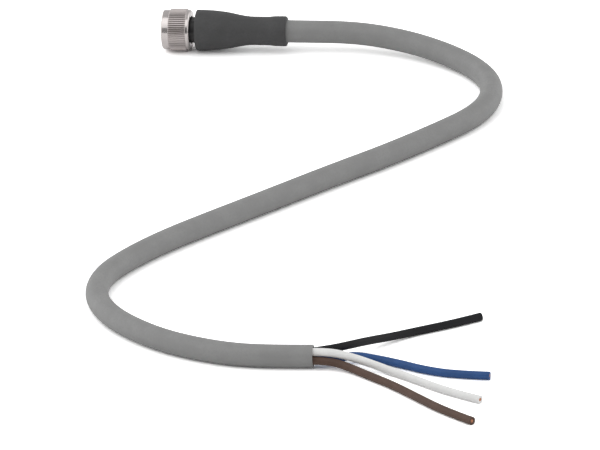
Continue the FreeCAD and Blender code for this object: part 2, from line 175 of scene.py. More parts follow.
@dataclass
class Skin:
    """Surfaces gathered into one mesh.

    Attributes:
        name: Name of the finished object.
        points: Grids of points, rows x columns x 3, each closed round its columns.
        loops: Whether each grid's last row joins its first.
        values: Named values at the points, one dict per grid.
    """

    name: str
    points: list[Array] = field(default_factory=list)
    loops: list[bool] = field(default_factory=list)
    values: list[dict[str, Array]] = field(default_factory=list)

    def add(self, grid: Array, loop: bool, **values: Array) -> "Skin":
        """Adds a grid of points.

        Args:
            grid: Points in metres, rows x columns x 3.
            loop: Whether the last row joins the first.
            **values: Values at the points, by attribute name.

        Returns:
            The skin itself.
        """
        self.points.append(grid)
        self.loops.append(loop)
        self.values.append(values)
        return self

    def quads(self, index: int) -> Array:
        """Corner numbers of one grid's quads, turned so that they face outwards.

        Args:
            index: Which grid.

        Returns:
            Array of four corner numbers per quad.
        """
        rows, cols = self.points[index].shape[:2]
        row = np.arange(rows if self.loops[index] else rows - 1)[:, None]
        col = np.arange(cols)[None]
        after, beside = (row + 1) % rows, (col + 1) % cols
        found = np.stack(
            [row * cols + col, row * cols + beside, after * cols + beside, after * cols + col], -1
        ).reshape(-1, 4)
        flat = self.points[index].reshape(-1, 3)
        flat = flat - flat.mean(0)
        a, b, c, d = (flat[found[:, k]] for k in range(4))
        volume = (a * np.cross(b, c)).sum() + (a * np.cross(c, d)).sum()
        return found if volume > 0 else found[:, ::-1]

    def finished(self, material: bpy.types.Material, sharp_deg: float = 38.0) -> bpy.types.Object:
        """Welds the points, makes the mesh and links its object.

        Args:
            material: Finish of the whole piece.
            sharp_deg: Edges that turn by more are shaded sharp.

        Returns:
            The object, at the origin.
        """
        sizes = [g.shape[0] * g.shape[1] for g in self.points]
        firsts = np.concatenate([[0], np.cumsum(sizes)[:-1]])
        flat = np.concatenate([g.reshape(-1, 3) for g in self.points])
        quads = np.concatenate([self.quads(i) + first for i, first in enumerate(firsts)])
        keys = np.round(flat / WELD).astype(np.int64)
        _, kept, number = np.unique(keys, axis=0, return_index=True, return_inverse=True)
        corners = number.reshape(-1)[quads]
        real = corners != np.roll(corners, -1, axis=1)
        whole = real.sum(1) >= 3
        corners, real = corners[whole], real[whole]
        loops = corners[real]
        starts = np.concatenate([[0], np.cumsum(real.sum(1))[:-1]])
        mesh = bpy.data.meshes.new(self.name)
        mesh.vertices.add(len(kept))
        mesh.vertices.foreach_set("co", flat[kept].ravel())
        mesh.loops.add(len(loops))
        mesh.loops.foreach_set("vertex_index", loops.astype(np.int32))
        mesh.polygons.add(len(starts))
        mesh.polygons.foreach_set("loop_start", starts.astype(np.int32))
        mesh.update(calc_edges=True)
        for name in self.values[0]:
            value = np.concatenate(
                [np.broadcast_to(v[name], g.shape[:2] + v[name].shape[2:]).reshape(
                    (g.shape[0] * g.shape[1],) + v[name].shape[2:]
                ) for v, g in zip(self.values, self.points)]
            )[kept]
            kind, entry = ("FLOAT_VECTOR", "vector") if value.ndim > 1 else ("FLOAT", "value")
            layer = mesh.attributes.new(name, kind, "POINT")
            layer.data.foreach_set(entry, value.astype(np.float32).ravel())
        mesh.materials.append(material)
        mesh.shade_smooth()
        mesh.set_sharp_from_angle(angle=math.radians(sharp_deg))
        return linked(self.name, mesh)


def spline_line(name: str, route: Array, pieces: int) -> Array:
    """Points of the smooth line that has a route's points as its control points.

    Args:
        name: Name for the curve while it exists.
        route: Control points in metres.
        pieces: Pieces of the line per control point.

    Returns:
        Points along the line, in metres.
    """
    curve = bpy.data.curves.new(name, "CURVE")
    curve.dimensions = "3D"
    curve.resolution_u = pieces
    spline = curve.splines.new("NURBS")
    spline.points.add(len(route) - 1)
    spline.points.foreach_set("co", np.c_[route, np.ones(len(route))].ravel())
    spline.order_u = 3
    spline.use_endpoint_u = True
    holder = linked(name, curve)
    bpy.context.view_layer.update()
    mesh = bpy.data.meshes.new_from_object(holder)
    points = np.empty(len(mesh.vertices) * 3)
    mesh.vertices.foreach_get("co", points)
    bpy.data.objects.remove(holder)
    bpy.data.curves.remove(curve)
    bpy.data.meshes.remove(mesh)
    return points.reshape(-1, 3)


def swept(
    line: Array, ends: Sequence[tuple[float, float]], radius: float, columns: int
) -> tuple[Array, Array]:
    """Round section carried along a line that lies nearly level.

    A point of the surface is P(s) + q (cos a S + sin a W), where P runs along the line, S is
    level and square to it, W is square to both, and q is the radius. The rows of the far end
    follow ends.

    Args:
        line: Points of the line, in metres.
        ends: Rows past the line's last point, as (how far back along the line, radius) in mm.
        radius: Radius in mm.
        columns: Points round the section.

    Returns:
        The grid of points, and the same grid as if the cord lay straight along Z, in metres.
    """
    run = np.gradient(line, axis=0)
    run /= np.linalg.norm(run, axis=1)[:, None]
    side = np.cross([0.0, 0.0, 1.0], run)
    side /= np.linalg.norm(side, axis=1)[:, None]
    over = np.cross(run, side)
    gone = np.concatenate([[0], np.cumsum(np.linalg.norm(np.diff(line, axis=0), axis=1))])
    rows = np.concatenate([[0], np.arange(len(line)), np.full(len(ends), len(line) - 1)])
    back = np.concatenate([np.zeros(len(line) + 1), [e[0] * MM for e in ends]])
    radii = np.concatenate([[0], np.full(len(line), radius * MM), [e[1] * MM for e in ends]])
    centre = line[rows] - run[rows] * back[:, None]
    a = np.linspace(0, 2 * np.pi, columns, endpoint=False)[None, :, None]
    out = np.cos(a) * side[rows][:, None] + np.sin(a) * over[rows][:, None]
    grid = centre[:, None] + radii[:, None, None] * out
    away = np.broadcast_to(np.concatenate([np.cos(a), np.sin(a)], -1), grid.shape[:2] + (2,))
    along = np.broadcast_to((gone[rows] - back)[:, None, None], grid.shape[:2] + (1,))
    straight = np.concatenate([away * radii[:, None, None], along], -1)
    return grid, straight


# Shader effects and finishes


class Tree:
    """Node tree with short calls for adding and joining nodes."""

    def __init__(self, tree: bpy.types.NodeTree) -> None:
        """Keeps the tree and empties it."""
        self.tree = tree
        self.tree.nodes.clear()

    def add(
        self, kind: str, inputs: Optional[dict] = None, **settings: object
    ) -> bpy.types.Node:
        """Adds a node.

        Args:
            kind: Blender's name of the node.
            inputs: Values or sockets for its inputs, by name or number.
            **settings: Properties of the node.

        Returns:
            The node.
        """
        node = self.tree.nodes.new(kind)
        for name, value in settings.items():
            setattr(node, name, value)
        for name, value in (inputs or {}).items():
            socket = node.inputs[name]
            if isinstance(value, bpy.types.NodeSocket):
                self.tree.links.new(value, socket)
            else:
                socket.default_value = value
        return node

    def noise(self, place: Value, scale: Value, detail: float, **more: float) -> bpy.types.Node:
        """Adds a noise texture.

        Args:
            place: Socket with the place.
            scale: How often the noise repeats per metre.
            detail: Number of finer layers.
            **more: Other inputs, by name.

        Returns:
            The node.
        """
        inputs = {"Vector": place, "Scale": scale, "Detail": detail, **more}
        return self.add("ShaderNodeTexNoise", inputs)

    def math(self, operation: str, *values: Value) -> bpy.types.NodeSocket:
        """Result of a sum.

        Args:
            operation: Blender's name of the sum.
            *values: Numbers or sockets that go into it.

        Returns:
            The socket with the result.
        """
        node = self.add("ShaderNodeMath", dict(enumerate(values)), operation=operation)
        return node.outputs[0]

    def mapped(
        self, value: Value, low: float, high: float, to_low: float, to_high: float
    ) -> bpy.types.NodeSocket:
        """Value carried from one range to another along a smooth step.

        Args:
            value: The value.
            low, high: Its range.
            to_low, to_high: The result's range.

        Returns:
            The socket with the result.
        """
        ranges = {"From Min": low, "From Max": high, "To Min": to_low, "To Max": to_high}
        node = self.add(
            "ShaderNodeMapRange", {"Value": value, **ranges}, interpolation_type="SMOOTHSTEP"
        )
        return node.outputs[0]

    def mix(self, share: Value, first: Sequence, second: Sequence) -> bpy.types.NodeSocket:
        """Colour between two others.

        Args:
            share: 0 for the first and 1 for the second.
            first: Colour or colour socket.
            second: Colour or colour socket.

        Returns:
            The socket with the colour.
        """
        pair = [c if isinstance(c, bpy.types.NodeSocket) else (*c, 1.0) for c in (first, second)]
        node = self.add("ShaderNodeMix", {0: share, 6: pair[0], 7: pair[1]}, data_type="RGBA")
        return node.outputs[2]


class Effect(Enum):
    """Effects that several finishes share, by the name of their node group."""

    GRAIN = "moulded_grain"
    LINES = "drawn_lines"
    HANDLING = "handling_marks"


def new_group(
    name: str, inputs: dict[str, float], outputs: Sequence[str]
) -> tuple[Tree, bpy.types.Node, bpy.types.Node]:
    """Starts a node group whose input Place is a point in metres.

    Args:
        name: Name of the group.
        inputs: Number inputs and their first values.
        outputs: Names of the number outputs.

    Returns:
        The tree, its input node and its output node.
    """
    group = bpy.data.node_groups.new(name, "ShaderNodeTree")
    group.interface.new_socket("Place", in_out="INPUT", socket_type="NodeSocketVector")
    for label, value in inputs.items():
        socket = group.interface.new_socket(label, in_out="INPUT", socket_type="NodeSocketFloat")
        socket.default_value = value
    for label in outputs:
        group.interface.new_socket(label, in_out="OUTPUT", socket_type="NodeSocketFloat")
    tree = Tree(group)
    return tree, tree.add("NodeGroupInput"), tree.add("NodeGroupOutput")


def grain_group() -> None:
    """Spark-eroded mould grain: pits of two sizes, as a height from 0 to 1 and a pit mask."""
    tree, given, out = new_group(Effect.GRAIN.value, {"Scale": 6000.0}, ("Height", "Pits"))
    fine = tree.noise(given.outputs["Place"], given.outputs["Scale"], 3.0, Roughness=0.6)
    wide_scale = tree.math("MULTIPLY", given.outputs["Scale"], 0.37)
    wide = tree.add(
        "ShaderNodeTexVoronoi", {"Vector": given.outputs["Place"], "Scale": wide_scale},
        feature="SMOOTH_F1",
    )
    height = tree.math("ADD", tree.math("MULTIPLY", fine.outputs[0], 0.65),
                       tree.math("MULTIPLY", wide.outputs["Distance"], 0.5))
    tree.tree.links.new(height, out.inputs["Height"])
    tree.tree.links.new(tree.mapped(height, 0.62, 0.35, 0.0, 1.0), out.inputs["Pits"])


def lines_group() -> None:
    """Fine marks that run one way: noise squeezed along the first two of the place's directions."""
    tree, given, out = new_group(
        Effect.LINES.value, {"Across": 5000.0, "Along": 120.0}, ("Height", "Streaks")
    )
    squeeze = tree.add("ShaderNodeCombineXYZ", {
        0: given.outputs["Across"], 1: given.outputs["Across"], 2: given.outputs["Along"]
    })
    place = tree.add("ShaderNodeVectorMath", {0: given.outputs["Place"], 1: squeeze.outputs[0]},
                     operation="MULTIPLY")
    fine = tree.noise(place.outputs[0], 1.0, 4.0, Roughness=0.55)
    broad = tree.noise(place.outputs[0], 0.16, 2.0)
    tree.tree.links.new(fine.outputs[0], out.inputs["Height"])
    tree.tree.links.new(tree.mapped(broad.outputs[0], 0.38, 0.66, 0.0, 1.0), out.inputs["Streaks"])


def handling_group() -> None:
    """Slow changes from handling: a broad cloud from 0 to 1 and small rubbed spots."""
    tree, given, out = new_group(Effect.HANDLING.value, {"Scale": 260.0}, ("Cloud", "Rubbed"))
    cloud = tree.noise(given.outputs["Place"], given.outputs["Scale"], 3.0)
    spot_scale = tree.math("MULTIPLY", given.outputs["Scale"], 7.0)
    spots = tree.noise(given.outputs["Place"], spot_scale, 5.0)
    tree.tree.links.new(tree.mapped(cloud.outputs[0], 0.3, 0.7, 0.0, 1.0), out.inputs["Cloud"])
    tree.tree.links.new(tree.mapped(spots.outputs[0], 0.58, 0.72, 0.0, 1.0), out.inputs["Rubbed"])


@dataclass(frozen=True)
class Finish:
    """A procedural surface.

    Attributes:
        name: Name of the material.
        colour: Main colour, linear.
        roughness: Roughness at its plainest.
    """

    name: str
    colour: Colour
    roughness: float

    def start(self, attribute: Optional[str] = None) -> tuple[Tree, bpy.types.NodeSocket]:
        """Starts the material's tree.

        Args:
            attribute: Name of the place attribute, or None for object coordinates.

        Returns:
            The tree and the socket with the place.
        """
        material = bpy.data.materials.new(self.name)
        material.use_nodes = True
        tree = Tree(material.node_tree)
        if attribute:
            return tree, tree.add("ShaderNodeAttribute", attribute_name=attribute).outputs["Vector"]
        return tree, tree.add("ShaderNodeTexCoord").outputs["Object"]

    def effect(
        self, tree: Tree, effect: Effect, place: bpy.types.NodeSocket, **inputs: float
    ) -> bpy.types.Node:
        """Places a shared effect in the material.

        Args:
            tree: The material's tree.
            effect: Which effect.
            place: Socket with the place on the piece.
            **inputs: Numbers for the effect's own inputs, by name in small letters.

        Returns:
            The effect's node.
        """
        node = tree.add("ShaderNodeGroup", node_tree=bpy.data.node_groups[effect.value])
        tree.tree.links.new(place, node.inputs["Place"])
        for label, value in inputs.items():
            node.inputs[label.capitalize()].default_value = value
        return node

    def bump(
        self, tree: Tree, height: Value, distance: float,
        under: Optional[bpy.types.NodeSocket] = None,
    ) -> bpy.types.NodeSocket:
        """Raises the normal.

        Args:
            tree: The material's tree.
            height: Height from 0 to 1.
            distance: What a height of 1 stands for, in mm.
            under: Normal that is raised, or None for the surface's own.

        Returns:
            The socket with the normal.
        """
        inputs = {"Height": height, "Distance": distance * MM, "Strength": 1.0}
        if under is not None:
            inputs["Normal"] = under
        return tree.add("ShaderNodeBump", inputs).outputs[0]

    def shade(
        self, tree: Tree, colour: bpy.types.NodeSocket, roughness: bpy.types.NodeSocket,
        normal: bpy.types.NodeSocket, **plain: float,
    ) -> bpy.types.Material:
        """Ends the material with its shader.

        Args:
            tree: The material's tree.
            colour: Colour socket.
            roughness: Roughness socket.
            normal: Normal socket.
            **plain: Numbers set on the shader's own sockets, by name with _ for a space.

        Returns:
            The material.
        """
        inputs = {"Base Color": colour, "Roughness": roughness, "Normal": normal}
        inputs.update({k.replace("_", " "): v for k, v in plain.items()})
        shader = tree.add("ShaderNodeBsdfPrincipled", inputs)
        tree.add("ShaderNodeOutputMaterial", {"Surface": shader.outputs[0]})
        return bpy.data.materials[self.name]


@dataclass(frozen=True)
class Plastic(Finish):
    """Moulded or drawn plastic or rubber.

    Attributes:
        grain: Scale of the mould grain.
        relief: Height of the grain in mm.
        lines: Height of drawing lines in mm; above zero only on cords.
        tone: How far the colour changes from place to place.
        specular: Level of the reflection at a glance.
        place: Attribute that holds the place on the piece, or None.
        pit_share, pit_tone: How much of the pits shows, and how much darker they are, in tones.
        pit_rough, streak_rough: Roughness that pits and drawing streaks add.
        rubbed_gloss: Roughness that rubbed spots take away.
    """

    grain: float = 6000.0
    relief: float = 0.004
    lines: float = 0.0
    tone: float = 0.10
    specular: float = 0.5
    place: Optional[str] = None
    pit_share: float = 0.5
    pit_tone: float = 1.6
    pit_rough: float = 0.06
    rubbed_gloss: float = 0.10
    streak_rough: float = 0.08

    def made(self) -> bpy.types.Material:
        """Builds the material: tinted clouds, darker pits, rubbed spots, grain and drawn lines."""
        tree, place = self.start(self.place)
        grain = self.effect(tree, Effect.GRAIN, place, scale=self.grain)
        hand = self.effect(tree, Effect.HANDLING, place)
        dark = tuple(c * (1 - self.tone) for c in self.colour)
        light = tuple(min(1.0, c * (1 + self.tone)) for c in self.colour)
        colour = tree.mix(hand.outputs["Cloud"], dark, light)
        pits = tree.math("MULTIPLY", grain.outputs["Pits"], self.pit_share)
        pitted = tuple(c * (1 - self.pit_tone * self.tone) for c in self.colour)
        colour = tree.mix(pits, colour, pitted)
        rough = tree.math(
            "MULTIPLY_ADD", hand.outputs["Rubbed"], -self.rubbed_gloss,
            tree.math("MULTIPLY_ADD", grain.outputs["Pits"], self.pit_rough, self.roughness),
        )
        normal = self.bump(tree, grain.outputs["Height"], self.relief)
        if self.lines:
            drawn = self.effect(tree, Effect.LINES, place)
            normal = self.bump(tree, drawn.outputs["Height"], self.lines, normal)
            streaks = drawn.outputs["Streaks"]
            rough = tree.math("MULTIPLY_ADD", streaks, self.streak_rough, rough)
        return self.shade(tree, colour, rough, normal, Specular_IOR_Level=self.specular)


@dataclass(frozen=True)
class Metal(Finish):
    """Plated or bare metal.

    Attributes:
        shadow: Painted shade colour that the recesses are darkened towards.
        marks: Height of the turning marks in mm.
        recess: Attribute that is 1 in the recesses, or None; it sets how much painted shade and
            roughness they get.
        satin: Attribute that is 1 where the metal is rolled and duller, or None.
        satin_colour: Colour there.
        worn_share: Colour where the metal is most worn, as a share of the main colour.
        mark_rough, satin_rough, recess_rough: Roughness that marks, satin and recesses add.
        recess_full, recess_share: Depth at which a recess's painted shade is darkest, and how dark
            it is there.
    """

    shadow: Colour = (0.2, 0.2, 0.2)
    marks: float = 0.0006
    recess: Optional[str] = None
    satin: Optional[str] = None
    satin_colour: Colour = (0.53, 0.485, 0.475)
    worn_share: float = 0.95
    mark_rough: float = 0.03
    satin_rough: float = 0.18
    recess_rough: float = 0.16
    recess_full: float = 0.75
    recess_share: float = 0.92

    def made(self) -> bpy.types.Material:
        """Builds the material: turning marks round X, rubbed spots, and recesses made rougher and
        darkened with painted shade.
        """
        tree, place = self.start()
        apart = tree.add("ShaderNodeSeparateXYZ", {0: place})
        ring = tree.add("ShaderNodeCombineXYZ", {0: apart.outputs[0]})
        marks = self.effect(tree, Effect.LINES, ring.outputs[0], across=30000.0, along=0.0)
        hand = self.effect(tree, Effect.HANDLING, place, scale=420.0)
        worn = tuple(c * self.worn_share for c in self.colour)
        colour = tree.mix(hand.outputs["Cloud"], worn, self.colour)
        rough = tree.math(
            "MULTIPLY_ADD", hand.outputs["Rubbed"], self.mark_rough,
            tree.math("MULTIPLY_ADD", marks.outputs["Streaks"], self.mark_rough, self.roughness),
        )
        if self.satin:
            dull = tree.add("ShaderNodeAttribute", attribute_name=self.satin).outputs["Fac"]
            colour = tree.mix(dull, colour, self.satin_colour)
            rough = tree.math("MULTIPLY_ADD", dull, self.satin_rough, rough)
        if self.recess:
            deep = tree.add("ShaderNodeAttribute", attribute_name=self.recess).outputs["Fac"]
            # painted shade: the recesses' colour is mixed towards the shadow colour
            share = tree.mapped(deep, 0.0, self.recess_full, 0.0, self.recess_share)
            colour = tree.mix(share, colour, self.shadow)
            rough = tree.math("MULTIPLY_ADD", deep, self.recess_rough, rough)
        normal = self.bump(tree, marks.outputs["Height"], self.marks)
        return self.shade(tree, colour, rough, normal, Metallic=1.0)


@dataclass(frozen=True)
class Finishes:
    """All finishes, by the record's material slots."""

    made: dict[str, bpy.types.Material]

    @classmethod
    def build(cls) -> "Finishes":
        """Makes the shared effects and then every finish."""
        grain_group()
        lines_group()
        handling_group()
        cord = {"place": "straight", "lines": 0.003, "grain": 5000.0, "relief": 0.002}
        moulded = {"grain": 9000.0, "relief": 0.002}
        finishes = {
            # the nickel's third colour is the painted shade of its recesses
            "nickel": Metal("nickel_plate", (0.60, 0.56, 0.55), 0.15, (0.15, 0.12, 0.115),
                            recess="recess", satin="satin"),
            "gold": Metal("gold_plate", (0.83, 0.58, 0.24), 0.20, (0.4, 0.25, 0.1)),
            "copper": Metal("copper_strand", (0.72, 0.36, 0.22), 0.32, (0.3, 0.15, 0.1)),
            "carrier_black": Plastic("carrier_plastic", (0.016, 0.016, 0.017), 0.42, **moulded),
            "seal_rubber": Plastic("seal_rubber", (0.022, 0.022, 0.023), 0.62, **moulded),
            "ring_plastic": Plastic("ring_plastic", (0.035, 0.034, 0.033), 0.36, **moulded),
            "mould_plastic": Plastic("inner_mould_plastic", (0.05, 0.05, 0.05), 0.5, **moulded),
            "grip_grey": Plastic("grip_soft_plastic", (0.066, 0.066, 0.067), 0.58,
                                 grain=5200.0, relief=0.006, tone=0.08, specular=0.35),
            "sheath_grey": Plastic("cable_sheath_plastic", (0.262, 0.262, 0.260), 0.50,
                                   tone=0.05, specular=0.40, **cord),
            "core_black": Plastic("core_black_plastic", (0.010, 0.010, 0.012), 0.45,
                                  specular=0.22, **cord),
            "core_blue": Plastic("core_blue_plastic", (0.026, 0.083, 0.245), 0.45,
                                 specular=0.28, **cord),
            "core_white": Plastic("core_white_plastic", (0.84, 0.84, 0.83), 0.42,
                                  tone=0.03, specular=0.4, **cord),
            "core_brown": Plastic("core_brown_plastic", (0.100, 0.058, 0.042), 0.45,
                                  specular=0.28, **cord),
        }
        return cls({slot: finish.made() for slot, finish in finishes.items()})

    def dress_nodes(self, slots: dict[str, str]) -> None:
        """Gives every CAD node that stays in view its finish.

        Args:
            slots: Material slot of each node.
        """
        for node, slot in slots.items():
            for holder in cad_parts[node].material_slots:
                holder.material = self.made[slot]
            log.info("node %s: %s", node, slot)


# Pieces


@dataclass
class CouplingNut:
    """Knurled screw nut with a thread inside, in mm."""

    front_x: float = -0.5
    front_r: float = 4.7
    front_round: float = 0.35
    knurl_x: float = 1.2
    knurl_end_x: float = 5.35
    knurl_r: float = 5.0
    knurl_chamfer: float = 0.18
    knurl_depth: float = 0.18
    knurl_crest: float = 0.3
    # painted shade: how dark the knurl grooves are painted
    groove_painted_shade: float = 0.55
    teeth: int = 60
    rear_r: float = 4.8
    rear_chamfer: float = 0.3
    back_x: float = 6.2
    lip_hole_r: float = 3.35
    pocket_x: float = 5.35
    pocket_end_x: float = 6.0
    pocket_r: float = 3.75
    hole_r: float = 3.15
    web_x: float = 4.85
    thread_minor_r: float = 3.459
    thread_major_r: float = 4.0
    thread_pitch: float = 1.0
    entry_x: float = 0.2
    thread_end_x: float = 4.3
    thread_fade: float = 0.3
    thread_rows: int = 20
    entry_rows: int = 14
    # painted shade in the thread's hollows: its least share and its range
    recess_least: float = 0.25
    recess_range: float = 0.5
    edge: float = 0.05
    sharp_deg: float = 32.0

    def angles(self) -> Array:
        """Angles round the nut, set so that they meet every edge of the knurl."""
        half = self.knurl_crest / 2
        phases = np.array([-half, -half / 2, half / 2, half, 0.33, 0.5, 0.67])
        tooth = np.arange(self.teeth)[:, None]
        return ((tooth + phases[None]) / self.teeth * 2 * np.pi).ravel()

    def profile(self) -> Array:
        """Section of the nut as points (x, r)."""
        rows = round((self.web_x - self.entry_x) / self.thread_pitch * self.thread_rows)
        edge, chamfer = self.edge, self.knurl_chamfer
        return outline([
            (self.front_x, self.thread_major_r, edge, 1),
            (self.front_x, self.front_r, self.front_round, 1),
            (self.knurl_x, self.front_r, edge, 1),
            (self.knurl_x, self.knurl_r - chamfer, 0.03, 3),
            (self.knurl_x + chamfer, self.knurl_r, 0.04, 4),
            (self.knurl_end_x - chamfer, self.knurl_r, 0.04, 3),
            (self.knurl_end_x, self.knurl_r - chamfer, 0.03, 1),
            (self.knurl_end_x + 0.02, self.rear_r, 0.02, 1),
            (self.back_x - self.rear_chamfer, self.rear_r, 0.06, 1),
            (self.back_x, self.rear_r - self.rear_chamfer, 0.06, 2),
            (self.back_x, self.lip_hole_r, edge, 1),
            (self.pocket_end_x, self.lip_hole_r, 0.02, 1),
            (self.pocket_end_x, self.pocket_r, 0.02, 1),
            (self.pocket_x, self.pocket_r, 0.02, 1),
            (self.pocket_x, self.hole_r, edge, 1),
            (self.web_x, self.hole_r, edge, 1),
            (self.web_x, self.thread_minor_r, 0.02, rows),
            (self.entry_x, self.thread_minor_r, 0.02, self.entry_rows),
        ])

    def knurl(self, angles: Array) -> Array:
        """Depth of the knurl, V grooves between flat crests.

        Args:
            angles: Angles of the columns.

        Returns:
            Depth per column, from 0 on a crest to 1 in a groove.
        """
        phase = np.abs((angles * self.teeth / (2 * np.pi) + 0.5) % 1 - 0.5) * 2
        return np.clip((phase - self.knurl_crest) / (1 - self.knurl_crest), 0, 1)

    def thread(self, x: Array, angles: Array) -> Array:
        """Depth of the screw thread: (1 - cos(2 pi t)) / 2, where t = x / pitch - a / (2 pi).

        Args:
            x: Places along the axis in mm, one per row.
            angles: Angles of the columns.

        Returns:
            Depth per point, from 0 to 1, fading out past the thread's end.
        """
        turn = x[:, None] / self.thread_pitch - angles[None] / (2 * np.pi)
        form = (1 - np.cos(2 * np.pi * turn)) / 2
        fade = np.clip((self.thread_end_x + self.thread_fade - x) / self.thread_fade, 0, 1)
        return form * fade[:, None]

    def build(self, finishes: Finishes) -> None:
        """Makes the nut in place of its CAD node.

        Args:
            finishes: The finishes.
        """
        angles = self.angles()
        x, r = self.profile().T
        knurl = self.knurl(angles)[None]
        banded = (x > self.knurl_x - 0.01) & (x < self.knurl_end_x + 0.01) & (r > self.front_r)
        cut_r = self.knurl_r - self.knurl_depth * knurl
        threaded = (r < self.thread_major_r) & (x < self.web_x - 0.01)
        thread = self.thread(x, angles)
        screw_r = self.thread_minor_r + (self.thread_major_r - self.thread_minor_r) * thread
        radii = np.where(banded[:, None], np.minimum(r[:, None], cut_r), r[:, None])
        radii = np.where(threaded[:, None], np.maximum(radii, screw_r), radii)
        # painted shade: these recess values darken the knurl grooves and the thread's hollows
        recess = np.where(banded[:, None], self.groove_painted_shade * knurl, 0.0)
        in_thread = self.recess_least + self.recess_range * thread
        recess = np.where(threaded[:, None], in_thread, recess)
        satin = np.broadcast_to(banded[:, None].astype(float), radii.shape)
        grid = turned(x[:, None], radii, angles)
        nut = Skin("nut").add(grid, True, recess=recess, satin=satin)
        nut = nut.finished(finishes.made["nickel"], self.sharp_deg)
        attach(nut, NUT_BODY)
        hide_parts("coupling_nut")
        log.info("nut: %d faces", len(nut.data.polygons))


@dataclass
class Grip:
    """Soft moulded grip, in mm, with the two hairlines that the mould halves leave."""

    front_x: float = 7.5
    front_r: float = 4.83
    shoulder: float = 0.4
    waist_r: float = 3.40
    waist_start: float = 13.9
    waist_end: float = 16.6
    collar_r: float = 3.58
    collar_start: float = 19.6
    length: float = 21.7
    end_round: float = 0.5
    neck_r: float = 3.07
    mould_x: float = 9.9
    mould_r: float = 2.92
    cable_x: float = 19.62
    columns: int = 224
    seam_height: float = 0.018
    seam_width: float = 0.05
    lead_out: float = 0.62
    lead_in: float = 0.30
    taper_pieces: int = 28
    flare_pieces: int = 10

    def profile(self, cable_r: float) -> Array:
        """Section of the grip as points (x, r).

        Args:
            cable_r: Radius of the cable that it holds.

        Returns:
            The points.
        """
        end_x = self.front_x + self.length
        waist = (self.front_x + self.waist_start, self.waist_r)
        flare = (self.front_x + self.waist_end, self.waist_r)
        collar = (self.front_x + self.collar_start, self.collar_r)
        shoulder = (self.front_x + self.shoulder, self.front_r)
        taper = waist[0] - shoulder[0]
        rise = (collar[0] - flare[0]) / 2
        corners = [(self.front_x, self.neck_r, 0.05, 1), (self.front_x, self.front_r, 0.25, 1)]
        corners.append((*shoulder, 0, 1))
        leads = self.lead_out * taper, self.lead_in * taper
        corners += [(*p, 0, 1) for p in s_bend(shoulder, waist, *leads, self.taper_pieces)]
        corners += [(*waist, 0, 3), (*flare, 0, 1)]
        corners += [(*p, 0, 1) for p in s_bend(flare, collar, rise, rise, self.flare_pieces)]
        corners += [
            (*collar, 0, 1),
            (end_x, self.collar_r, self.end_round, 1),
            (end_x, cable_r + 0.02, 0.05, 1),
            (self.cable_x, cable_r + 0.02, 0.02, 1),
            (self.cable_x, self.mould_r, 0.02, 1),
            (self.mould_x, self.mould_r, 0.02, 1),
            (self.mould_x, self.neck_r, 0.02, 1),
        ]
        return outline(corners, steps=5)

    def build(self, finishes: Finishes, cable_r: float) -> None:
        """Makes the grip in place of its CAD node.

        The radius is r + h exp(-(d / w)^2), where d is the distance round from the nearer of
        the two seams.

        Args:
            finishes: The finishes.
            cable_r: Radius of the cable.
        """
        even = np.linspace(0, 2 * np.pi, self.columns, endpoint=False)
        close = np.array([-2.2, -1.4, -0.7, 0.7, 1.4, 2.2]) * self.seam_width / self.front_r
        angles = np.sort(np.concatenate([even, close, close + np.pi]) % (2 * np.pi))
        x, r = self.profile(cable_r).T
        outside = (r > self.waist_r - 0.01) & (x > self.front_x + 0.05)
        around = np.abs((angles + np.pi / 2) % np.pi - np.pi / 2)[None] * r[:, None]
        seam = self.seam_height * np.exp(-((around / self.seam_width) ** 2))
        radii = r[:, None] + np.where(outside[:, None], seam, 0.0)
        grip = Skin("grip").add(turned(x[:, None], radii, angles), True)
        piece = grip.finished(finishes.made["grip_grey"])
        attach(piece, BODY)
        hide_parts("overmould")
        log.info("grip: %d faces", len(piece.data.polygons))


